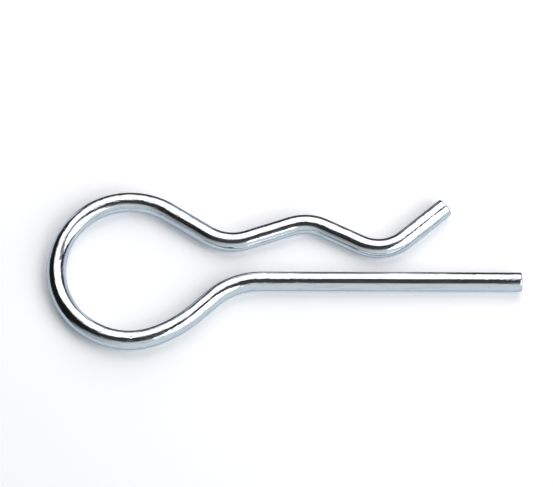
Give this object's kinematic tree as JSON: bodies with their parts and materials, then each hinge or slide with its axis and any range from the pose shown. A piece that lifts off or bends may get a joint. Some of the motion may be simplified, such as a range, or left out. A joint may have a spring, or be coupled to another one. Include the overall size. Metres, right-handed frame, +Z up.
{
  "type": "hitch r clip pin",
  "caption": "Flat R-shaped clip of round spring wire: a straight leg for a cross hole, a waved leg that snaps over the shaft, and a sprung loop.",
  "frame": {"origin": "on the surface the clip lies on, under the middle of the box round the whole clip", "axes": "+X along the straight leg towards its free end, +Y across the clip from the straight leg to the waved leg, +Z up, square to the clip's plane"},
  "size_m": [0.0984, 0.0344, 0.004],
  "materials": {
    "zinc_plated_wire": "bright zinc plate over drawn spring wire"
  },
  "bodies": {
    "root": {"clip_wire": "zinc_plated_wire"}
  },
  "joints": []
}
